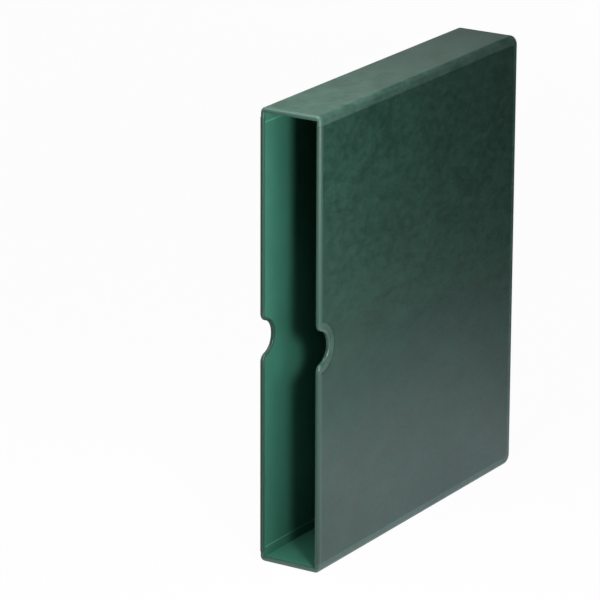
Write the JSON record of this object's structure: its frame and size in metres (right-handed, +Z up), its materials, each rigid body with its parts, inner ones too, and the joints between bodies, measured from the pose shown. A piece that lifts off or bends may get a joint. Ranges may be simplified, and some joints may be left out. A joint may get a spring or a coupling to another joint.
{
  "type": "slipcase",
  "caption": "Upright board slipcase for a ring binder, covered in leatherette and lined with paper, open at one narrow side, with a half-round thumb notch in each large side.",
  "frame": {"origin": "middle of the bottom, on the surface that the case stands on", "axes": "+Z up, the open mouth faces -Y, the closed narrow back wall is at +Y, and the two large sides face -X and +X"},
  "size_m": [0.049, 0.27, 0.328],
  "materials": {
    "leatherette": "satin",
    "lining_paper": "matte",
    "grey_board": "matte"
  },
  "bodies": {
    "root": {"narrow_wall_board": "grey_board", "side_board_left": "grey_board", "side_board_right": "grey_board", "narrow_wall_cover": "leatherette", "side_cover_left": "leatherette", "side_cover_right": "leatherette", "notch_edging_left": "leatherette", "notch_edging_right": "leatherette", "narrow_wall_lining": "lining_paper", "side_lining_left": "lining_paper", "side_lining_right": "lining_paper"}
  },
  "joints": []
}
